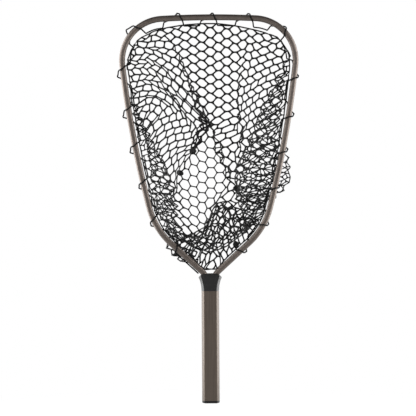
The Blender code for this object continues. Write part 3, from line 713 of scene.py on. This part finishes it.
# Beside the rim the wall doubles back: how far in its pleat comes, how full it is, how far it swells out.
PLEAT_EDGE = {
    LEFT: ((640, -163), (560, -170), (526, -160), (453, -125), (411, -104), (358, -83), (306, -72),
           (253, -50), (222, -34), (190, -20), (166, -4)),
    RIGHT: ((660, 152), (610, 156), (516, 112), (453, 88), (411, 70), (373, 54), (331, 48), (306, 26),
            (273, 0), (247, -30), (222, -34), (190, -16), (166, 8)),
}
PLEAT_SHARE = {
    LEFT: ((575, 0), (530, 0.6), (470, 0.85), (400, 0.95), (330, 1), (250, 0.9), (215, 0.6), (190, 0.3),
           (166, 0.1)),
    RIGHT: ((650, 0), (610, 0.4), (560, 0.8), (500, 1), (350, 1), (320, 0.85), (290, 0.5), (215, 0.3),
            (166, 0.1)),
}
PLEAT_SWELL = {
    LEFT: ((260, 0), (240, 20), (222, 44), (190, 44), (176, 18), (166, 0)),
    RIGHT: ((440, 0), (415, 34), (385, 50), (345, 56), (315, 54), (290, 36), (270, 0)),
}
# Past the fold, down the middle column, the pleats last so far and then fade.
PLEAT_PAST_FOLD = {LEFT: 80 * MM, RIGHT: 60 * MM}
PLEAT_FADE = 60 * MM
LEAST_PLEAT = 0.1
# Low on the left the bag's front bulges out behind the hoop's leg: how full, at each height of its rim.
LOW_BULGE = ((168, 0), (180, 0.8), (215, 0.9), (235, 0.5), (250, 0))
# Places where the sheet is drawn together: across, height, how wide and how tightly.
GATHERS = ((-2, 474, 42, 0.62), (57, 333, 28, 0.5), (-39, 415, 24, 0.4))
# Small solid pads moulded in the sheet: across and height.
PADS = ((-39, 415), (-65, 363), (57, 333), (51, 211))
PAD_SIZE = 7.2 * MM
PAD_THICKNESS = 3.4 * MM


def at_height(z, line, column=1):
    """A line's value at a height, from its rows of height and values."""
    rows = sorted(line)
    return float(np.interp(z / MM, [row[0] for row in rows], [row[column] for row in rows]))


RIM_POINTS = 140
THROAT_POINTS = 9


def half_rim():
    """The rim strand from the top's middle round to the throat's middle, on the right."""
    middle = hoop_at[-1] / 2
    lengths = np.linspace(middle, hoop_at[-1] - lacing_start, RIM_POINTS)
    laced = [beside_hoop(s, rim_offset(s), 0.0) for s in lengths]
    points = [(p.x, p.z) for p in laced]
    end_x, end_z = points[-1]
    for t in np.linspace(1, 0, THROAT_POINTS)[1:]:
        points.append((end_x * t, end_z - THROAT_DROP * (1 - t * t)))
    return np.array(points)


rim = half_rim()
rim_at = run_lengths(rim)
spine = np.array(smooth_line([np.array(p) * MM for p in MIDDLE_COLUMN], steps=12))
spine_at = run_lengths(spine)
sheet_length = spine_at[-1]
# The middle column turns up at the fold, the lowest place this far back, and down again at the flap's top.
FOLD_BACK = 100 * MM
fold_at = spine_at[np.argmin(np.where(spine[:, 0] > FOLD_BACK, spine[:, 1], 1.0))]
flap_at = spine_at[np.argmax(np.where(spine_at > fold_at, spine[:, 1], 0.0))]
# From this height down the rows share the rest of the rim. LOW_RIM weighs those down to the fold, up the
# front flap and down it.
SHARE_FROM = 290 * MM
share_at = spine_at[np.argmax(spine[:, 1] < SHARE_FROM)]
LOW_RIM = {LEFT: (1, 2.2, 1), RIGHT: (0.75, 0.8, 1.6)}
low_rows = (share_at, fold_at, flap_at, sheet_length)
rim_share = {}
for side in (LEFT, RIGHT):
    runs = np.cumsum(np.diff(low_rows) * LOW_RIM[side])
    rim_share[side] = [0.0, *(runs / runs[-1])]
# Each row ends at least so far round the rim, and further the lower it is, short of the throat's middle.
FIRST_ROW_END = 148 * MM
ROW_END_PACE = 0.75
THROAT_MARGIN = 4 * MM
# How far above its middle a row meets the rim, at each height.
ROW_RISE = {
    LEFT: ((700, 0), (640, -8), (600, -14), (560, -15), (500, -8), (440, 8), (400, 26), (330, 54), (260, 72),
           (190, 84)),
    RIGHT: ((700, 2), (600, 6), (500, 14), (400, 34), (330, 54), (260, 70), (190, 82)),
}
ROW_DROOP = 1.7
# On the left wall the rows arch over before they come down to the rim: how high, at each height.
ROW_CREST = {
    LEFT: ((690, 0), (650, 12), (600, 25), (540, 36), (480, 42), (420, 34), (380, 14), (340, 0)),
    RIGHT: ((690, 0), (380, 0)),
}
CREST_SCALE = 27 / 4
# The flap in front of the panel rises to the right of the middle and falls to the left.
FLAP_CREST = {LEFT: -22, RIGHT: 46}


def row_end(down, side):
    """How far along the rim a row ends."""
    middle_z = np.interp(min(down, share_at), spine_at, spine[:, 1])
    end_z = middle_z + at_height(middle_z, ROW_RISE[side]) * MM
    level = np.interp(-end_z, -rim[:, 1], rim_at)
    level = max(level, FIRST_ROW_END + ROW_END_PACE * min(down, share_at))
    past = np.interp(down, low_rows, rim_share[side])
    return level + (rim_at[-1] - THROAT_MARGIN - level) * past


LEAST_WIDTH = 1 * MM
LEAST_WALL = 2 * MM
SEARCH_FROM = 30 * MM
SEARCH_ROUNDS = 12
FOLD_FROM_MIDDLE = 4 * MM
FOLD_FROM_EDGE = 5 * MM
# The pleat's outer fold lies a little in from the rim and nearly as far back as the pleat's start. Its inner
# fold lies nearer the front, and the wall then turns to the rim.
OUTER_FOLD_IN = 0.06
OUTER_FOLD_DEPTH = 0.93
OUTER_FOLD_BACK = 6 * MM
INNER_FOLD_DEPTH = 0.5
RIM_TURN_IN = 1.5 * MM
RIM_TURN_BACK = 8 * MM
RIM_TURN_DEPTH = 0.5


def half_row(down, side):
    """Half of the sheet's row at a length down its middle, from the middle out to the rim."""
    back, middle_z = (np.interp(down, spine_at, spine[:, k]) for k in (0, 1))
    end = row_end(down, side)
    flap = np.interp(down, low_rows[1:], (0, 1, 0))
    flap *= FLAP_CREST[side] * MM * CREST_SCALE
    crest = at_height(middle_z, ROW_CREST[side]) * MM * CREST_SCALE
    end_x = side * np.interp(end, rim_at, rim[:, 0])
    end_z = np.interp(end, rim_at, rim[:, 1])
    width = max(side * (end_x - MIDDLE_X), LEAST_WIDTH)

    def height(x):
        out = np.clip(side * (x - MIDDLE_X) / width, 0, 1)
        arch = crest * out ** 2 * (1 - out) + flap * out * (1 - out) ** 2
        return middle_z + (end_z - middle_z) * out ** ROW_DROOP + arch

    def crossing(line, near, far):
        """Where the row crosses a line, kept clear of the row's two ends."""
        x = MIDDLE_X + side * SEARCH_FROM
        for _ in range(SEARCH_ROUNDS):
            x = (x + at_height(height(x), line) * MM) / 2
        out = np.clip(side * (x - MIDDLE_X), near, max(width - far, near))
        return MIDDLE_X + side * out

    foot = crossing(WALL_FOOT[side], near=4 * MM, far=10 * MM)
    edge = crossing(PLEAT_EDGE[side], near=6 * MM, far=5 * MM)
    if side * (edge - foot) < LEAST_WALL:
        edge = foot + side * LEAST_WALL
    steps = [(foot, at_height(height(foot), FOOT_STEP[side]), at_height(height(foot), FOOT_LAP[side]))]
    crease = CREASE[side]
    x = crossing(crease, near=2 * MM, far=12 * MM)
    if crease[0][0] <= height(x) / MM <= crease[-1][0]:
        steps.append((x, at_height(height(x), crease, 2), at_height(height(x), crease, 3)))

    def depth(x, stepped):
        rise = np.clip(side * (x - foot) / max(side * (end_x - foot), LEAST_WIDTH), 0, 1)
        return min((back + stepped * MM) * (1 - rise) + RIM_BACK * rise, BAG_BACK_LIMIT)

    line = [(MIDDLE_X, back)]
    stepped = 0.0
    for x, step, lap in sorted(steps, key=lambda s: side * s[0]):
        if side * (x - MIDDLE_X) > FOLD_FROM_MIDDLE and side * (edge - x) > FOLD_FROM_EDGE:
            line.append((x + side * lap * MM, depth(x, stepped)))
            line.append((x - side * lap * MM, depth(x, stepped + step)))
        stepped += step
    start = np.array([edge, depth(edge, stepped)])
    stop = np.array([end_x, RIM_BACK])
    full = at_height(end_z, PLEAT_SHARE[side])
    full *= np.clip((fold_at + PLEAT_PAST_FOLD[side] - down) / PLEAT_FADE, LEAST_PLEAT, 1)
    if side == LEFT and down > fold_at:
        full = max(full, at_height(end_z, LOW_BULGE))
    swell = at_height(end_z, PLEAT_SWELL[side]) * MM
    outer_x = end_x + side * (swell - OUTER_FOLD_IN * abs(end_x - edge))
    inner_x = at_height(end_z, PLEAT_EDGE[side]) * MM
    out = start + (stop - start) / 3
    out += (np.array([outer_x, OUTER_FOLD_DEPTH * start[1] + OUTER_FOLD_BACK]) - out) * full
    again = start + (stop - start) * 2 / 3
    again += (np.array([inner_x, INNER_FOLD_DEPTH * start[1]]) - again) * full
    turn_back = min(RIM_TURN_BACK, RIM_TURN_DEPTH * again[1] + RIM_BACK)
    line += [start, out, again, (end_x - side * RIM_TURN_IN, turn_back), stop]
    line = np.array(smooth_line([np.array(p) for p in line], steps=8))
    reached = np.maximum.accumulate(side * line[:, 0]) * side
    heights = np.array([height(x) for x in reached])
    heights[-1] = end_z
    return np.column_stack([line, heights])


ROWS = 120
ROW_POINTS = 90
# The top wall has spare net: how much, and the heights in millimetres over which it comes in.
WALL_SPARE = 0.08
SPARE_FROM = 440
SPARE_FADE = 40
SMOOTHING_ROUNDS = 30
row_points = {}
row_reach = {}
for side in (LEFT, RIGHT):
    table = []
    reach = []
    for down in np.linspace(0, sheet_length, ROWS):
        line = half_row(down, side)
        at = run_lengths(line)
        even = np.linspace(0, at[-1], ROW_POINTS)
        table.append(np.column_stack([np.interp(even, at, line[:, k]) for k in range(3)]))
        on_wall = np.clip((np.interp(down, spine_at, spine[:, 1]) / MM - SPARE_FROM) / SPARE_FADE, 0, 1)
        reach.append(at[-1] * (1 + WALL_SPARE * on_wall))
    reach = np.array(reach)
    for _ in range(SMOOTHING_ROUNDS):
        reach[1:-1] = (reach[:-2] + 2 * reach[1:-1] + reach[2:]) / 4
    row_points[side] = np.array(table)
    row_reach[side] = reach


def on_bag(across, down):
    """Where a point of the flat sheet lies on the bag, and how far it is inside the sheet's edge."""
    side = RIGHT if across >= 0 else LEFT
    row = np.clip(down / sheet_length, 0, 1) * (ROWS - 1)
    k = int(min(row, ROWS - 2))
    t = row - k
    reach = row_reach[side][k] * (1 - t) + row_reach[side][k + 1] * t
    place = min(abs(across) / reach, 1.0) * (ROW_POINTS - 1)
    j = int(min(place, ROW_POINTS - 2))
    s = place - j
    near, far = row_points[side][k:k + 2, j], row_points[side][k:k + 2, j + 1]
    pair = near + (far - near) * s
    spot = pair[0] + (pair[1] - pair[0]) * t
    for x, z, radius, pull in GATHERS:
        to_middle = np.array([x * MM - spot[0], 0.0, z * MM - spot[2]])
        away = np.linalg.norm(to_middle) / (radius * MM)
        if away < 1:
            spot = spot + to_middle * pull * (1 - away ** 2) ** 2
    return spot, min(reach - abs(across), down, sheet_length - down)


PANEL_FROM = 270 * MM
PANEL_TO = 520 * MM
PANEL_FADE = 30 * MM
PANEL_PAST_FOOT = 10 * MM
PANEL_SIDE_FADE = 20 * MM


def panel_share(across, down):
    """1 on the bottom panel, where the cells are regular, and 0 on the walls."""
    side = RIGHT if across >= 0 else LEFT
    z = np.interp(down, spine_at, spine[:, 1])
    width = abs(at_height(z, WALL_FOOT[side]) * MM - MIDDLE_X)
    along = np.clip((down - PANEL_FROM) / PANEL_FADE, 0, 1) * np.clip((PANEL_TO - down) / PANEL_FADE, 0, 1)
    return along * np.clip((width + PANEL_PAST_FOOT - abs(across)) / PANEL_SIDE_FADE, 0, 1)


# The flat sheet's cells. On the walls the level bar between two cells is shorter than the others.
CELL_COLUMNS = range(-26, 27)
CELL_ROWS = range(-2, 37)
RIM_MARGIN = 3 * MM
HALVINGS = 24
flat_corners = {}
flat_cells = []
side_length = CELL / math.sqrt(3)
for column in CELL_COLUMNS:
    for row in CELL_ROWS:
        middle = (column * 1.5 * side_length, (row + 0.5 * (column % 2)) * CELL)
        ring = []
        for k in range(6):
            angle = math.radians(60 * k)
            x = middle[0] + side_length * math.cos(angle)
            y = middle[1] + side_length * math.sin(angle)
            key = (round(x / (0.5 * side_length)), round(y / (0.5 * CELL)))
            if key not in flat_corners:
                along_bar = -1 if k % 2 else 1
                flat_corners[key] = (x + along_bar * BAR_SQUEEZE * (1 - panel_share(x, y)), y)
            ring.append(key)
        flat_cells.append(ring)
inside = {key: on_bag(*spot)[1] > RIM_MARGIN for key, spot in flat_corners.items()}
numbers = {}
positions = []
flat = []
pinned = []


def number(key, spot, pin):
    """A corner's number in the net, added when it is first used."""
    if key not in numbers:
        numbers[key] = len(positions)
        positions.append(on_bag(*spot)[0])
        flat.append(spot)
        pinned.append(pin)
    return numbers[key]


def rim_corner(near, far):
    """The corner where a strand that leaves the sheet meets the rim."""
    start, end = np.array(flat_corners[near]), np.array(flat_corners[far])
    low, high = 0.0, 1.0
    for _ in range(HALVINGS):
        middle = (low + high) / 2
        if on_bag(*(start + (end - start) * middle))[1] > 0:
            low = middle
        else:
            high = middle
    return number((near, far), tuple(start + (end - start) * low), True)


cells = []
rim_strands = set()
for ring in flat_cells:
    if not any(inside[key] for key in ring):
        continue
    cell = []
    on_rim = []
    for key, following in zip(ring, ring[1:] + ring[:1]):
        if inside[key]:
            cell.append(number(key, flat_corners[key], False))
        if inside[key] != inside[following]:
            cell.append(rim_corner(key, following) if inside[key] else rim_corner(following, key))
            on_rim.append(cell[-1])
    if len(on_rim) == 2:
        rim_strands.add(tuple(sorted(on_rim)))
    if len(cell) >= 3:
        cells.append(cell)
positions = np.array(positions)
flat = np.array(flat)
pinned = np.array(pinned)
cell_sides = {tuple(sorted(pair)) for cell in cells for pair in zip(cell, cell[1:] + cell[:1])}
strands = np.array(sorted(cell_sides))


# How the net settles. Each corner starts a little out of place, more so in a gather, then sags and is held
# to where it was laid. Strands pull it and braces between neighbouring strands push it.
SEED = 7
CRUMPLE = 2.5 * MM
OWN_LENGTH_SHARE = 0.6
GATHER_PULL = 0.9
GATHER_EDGE = 1.15
GATHER_CRUMPLE = 1.8
BRACE_LENGTH = 0.92
SAG = 0.03 * MM
HOLD = 0.01
STRAND_PULL = 1.5
BRACE_PUSH = 0.22
SETTLE_ROUNDS = 300
LAYER_ROUNDS = 60
LAYER_GAP = 4.5 * MM
LAYER_PUSH = 0.3
TINY = 1e-6


def spread(pairs, pushes, count):
    """The mean of the pushes on each corner."""
    total = np.zeros((count, 3))
    np.add.at(total, pairs[:, 0], pushes)
    np.add.at(total, pairs[:, 1], -pushes)
    return total / np.maximum(np.bincount(pairs.ravel(), minlength=count), 1)[:, None]


def part_layers(positions, free):
    """Push corners apart where two layers of the net lie in the same place."""
    tree = KDTree(len(positions))
    for i, point in enumerate(positions):
        tree.insert(point, i)
    tree.balance()
    moved = positions.copy()
    for i in np.flatnonzero(free):
        for point, _, distance in tree.find_range(positions[i], LAYER_GAP):
            if distance > TINY:
                away = (positions[i] - np.array(point)) / distance
                moved[i] += away * (LAYER_GAP - distance) * LAYER_PUSH
    return moved


def settle(positions):
    """Let the strands take their own lengths, so that spare net buckles and hangs a little."""
    laid = positions.copy()
    count = len(positions)
    free = ~pinned
    draw = np.random.default_rng(SEED)
    crumple = draw.normal(0, CRUMPLE, positions.shape)
    laid_length = np.linalg.norm(laid[strands[:, 0]] - laid[strands[:, 1]], axis=1)
    own_length = np.linalg.norm(flat[strands[:, 0]] - flat[strands[:, 1]], axis=1)
    own_share = np.array([0.0 if tuple(s) in rim_strands else OWN_LENGTH_SHARE for s in strands.tolist()])
    drawn = np.ones(count)
    for x, z, radius, _ in GATHERS:
        away = np.hypot(laid[:, 0] - x * MM, laid[:, 2] - z * MM) / (radius * MM)
        drawn *= 1 - GATHER_PULL * np.clip(GATHER_EDGE - away, 0, 1)
    positions = positions + crumple * (free * (1 + GATHER_CRUMPLE * (1 - drawn)))[:, None]
    own_share *= drawn[strands].mean(axis=1)
    strand_goal = laid_length + (own_length - laid_length) * own_share
    beside = [[] for _ in positions]
    for a, b in strands:
        beside[a].append(b)
        beside[b].append(a)
    braces = np.array([(p, q) for near in beside for i, p in enumerate(near) for q in near[i + 1:]])
    brace_goal = BRACE_LENGTH * np.linalg.norm(flat[braces[:, 0]] - flat[braces[:, 1]], axis=1)
    brace_goal *= drawn[braces].mean(axis=1)
    for step in range(SETTLE_ROUNDS):
        positions[free, 2] -= SAG
        positions[free] += (laid[free] - positions[free]) * HOLD
        for pairs, goal, strength in ((strands, strand_goal, STRAND_PULL), (braces, brace_goal, BRACE_PUSH)):
            gap = positions[pairs[:, 1]] - positions[pairs[:, 0]]
            length = np.linalg.norm(gap, axis=1)
            short = length - goal if pairs is strands else np.minimum(length - goal, 0)
            pushes = gap * (short / np.maximum(length, TINY) * 0.5)[:, None]
            positions[free] += strength * spread(pairs, pushes, count)[free]
        if step % LAYER_ROUNDS == LAYER_ROUNDS // 2:
            positions = part_layers(positions, free)
    return positions


positions = settle(positions)
# The pleat's strands come in over so many millimetres.
PLEAT_STRAND_FADE = 20


def half_width(a, b, corner):
    """A strand's half width at one of its corners: the rim strand is full."""
    if (min(a, b), max(a, b)) in rim_strands:
        return RIM_STRAND
    x, _, z = positions[corner]
    side = RIGHT if x > MIDDLE_X else LEFT
    pleated = np.clip(side * (x / MM - at_height(z, PLEAT_EDGE[side])) / PLEAT_STRAND_FADE, 0, 1)
    pleated *= at_height(z, PLEAT_SHARE[side])
    wall = WALL_STRAND + (PLEAT_STRAND[side] - WALL_STRAND) * pleated
    return wall + (PANEL_STRAND - wall) * panel_share(*flat[corner])


# Each cell is a hole in the moulding, with straight sides and its corners filled. The strands are full
# along their middles and thin at the holes' edges.
CORNER_LIMIT = 0.4
HOLE_LIMIT = 0.6
CORNER_FILL = 0.22
work = bmesh.new()
weight = work.verts.layers.deform.verify()


def net_vert(spot, full):
    """A point of the moulding, with its share of the full thickness."""
    vert = work.verts.new(spot)
    vert[weight][0] = full
    return vert


def corner_run(corner, toward):
    """How far along a strand its corner's filling reaches."""
    length = np.linalg.norm(positions[toward] - positions[corner])
    run = CORNER_RUN + (PANEL_CORNER_RUN - CORNER_RUN) * panel_share(*flat[corner])
    return min(run, CORNER_LIMIT * length) / max(length, TINY)


corner_verts = [net_vert(p, 1.0) for p in positions]
middle_verts = {}
for a, b in strands.tolist():
    for near, far in ((a, b), (b, a)):
        spot = positions[near] + (positions[far] - positions[near]) * corner_run(near, far)
        middle_verts[near, far] = net_vert(spot, 1.0)
for cell in cells:
    hub = positions[cell].mean(axis=0)
    edges = {}
    for a, b in zip(cell, cell[1:] + cell[:1]):
        line = positions[b] - positions[a]
        line = line / max(np.linalg.norm(line), TINY)
        into = hub - (positions[a] + positions[b]) / 2
        into -= line * (into @ line)
        room = max(np.linalg.norm(into), TINY)
        for near, far in ((a, b), (b, a)):
            wide = min(half_width(a, b, near), HOLE_LIMIT * room) / room
            edges[near, far] = net_vert(np.array(middle_verts[near, far].co) + into * wide, EDGE_THICKNESS)
    for i, corner in enumerate(cell):
        before, after = cell[i - 1], cell[(i + 1) % len(cell)]
        start, stop = edges[corner, before], edges[corner, after]
        chord = np.array(start.co + stop.co) / 2
        fill = net_vert(chord + (positions[corner] - chord) * CORNER_FILL, EDGE_THICKNESS)
        faces = [
            (corner_verts[corner], middle_verts[corner, after], stop, fill),
            (middle_verts[corner, before], corner_verts[corner], fill, start),
            (middle_verts[corner, after], middle_verts[after, corner], edges[after, corner], stop),
        ]
        for ring in faces:
            work.faces.new(ring).smooth = True
bag = mesh_piece("net_mesh", work)
select_only(bag)
solid = bag.modifiers.new("thickness", "SOLIDIFY")
solid.thickness = STRAND_THICKNESS
solid.offset = 0.0
solid.vertex_group = bag.vertex_groups.new(name="full").name
bpy.ops.object.modifier_apply(modifier="thickness")

# The pads: uneven discs with round edges, each on the corner nearest its place and turned to the front.
# Each ring of a disc has a place through its thickness and a size.
PAD_SIDES = 16
PAD_RINGS = ((-0.5, 0.62), (-0.22, 1.0), (0.22, 1.0), (0.5, 0.62))
PAD_OVAL = 0.14
PAD_UNEVEN = 0.05
PAD_FACING = Vector((0, -2.5, 0))
FRONT_FIRST = 0.05
work = bmesh.new()
work.from_mesh(bag.data)
for x, z in PADS:
    away = np.hypot(positions[:, 0] - x * MM, positions[:, 2] - z * MM)
    away += FRONT_FIRST * positions[:, 1]
    corner = int(np.argmin(away))
    near = [b if a == corner else a for a, b in strands.tolist() if corner in (a, b)]
    one, two = (Vector(positions[k] - positions[corner]).normalized() for k in near[:2])
    normal = one.cross(two).normalized()
    normal = (normal * (-1 if normal.y > 0 else 1) + PAD_FACING).normalized()
    across = normal.cross(one).normalized()
    one = across.cross(normal)
    rings = []
    for back, size in PAD_RINGS:
        ring = []
        for k in range(PAD_SIDES):
            turn = math.tau * k / PAD_SIDES
            swell = 1 + PAD_OVAL * math.cos(2 * turn) + PAD_UNEVEN * math.sin(5 * turn + x)
            reach = PAD_SIZE * size * swell
            spot = Vector(positions[corner]) + (one * math.cos(turn) + across * math.sin(turn)) * reach
            ring.append(work.verts.new(spot + normal * back * PAD_THICKNESS))
        rings.append(ring)
    faces = [work.faces.new(rings[0][::-1]), work.faces.new(rings[-1])]
    for low, high in zip(rings, rings[1:]):
        for k in range(PAD_SIDES):
            n = (k + 1) % PAD_SIDES
            faces.append(work.faces.new((low[k], low[n], high[n], high[k])))
    for face in faces:
        face.smooth = True
work.to_mesh(bag.data)
work.free()
net_rubber = moulded("moulded_net_rubber", ("#030303", "#080808"), (0.55, 0.7), grain=1.2 * MM, sheen=0.2)
bag.data.materials.append(net_rubber)
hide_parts("net_bag")
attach(bag, "net")
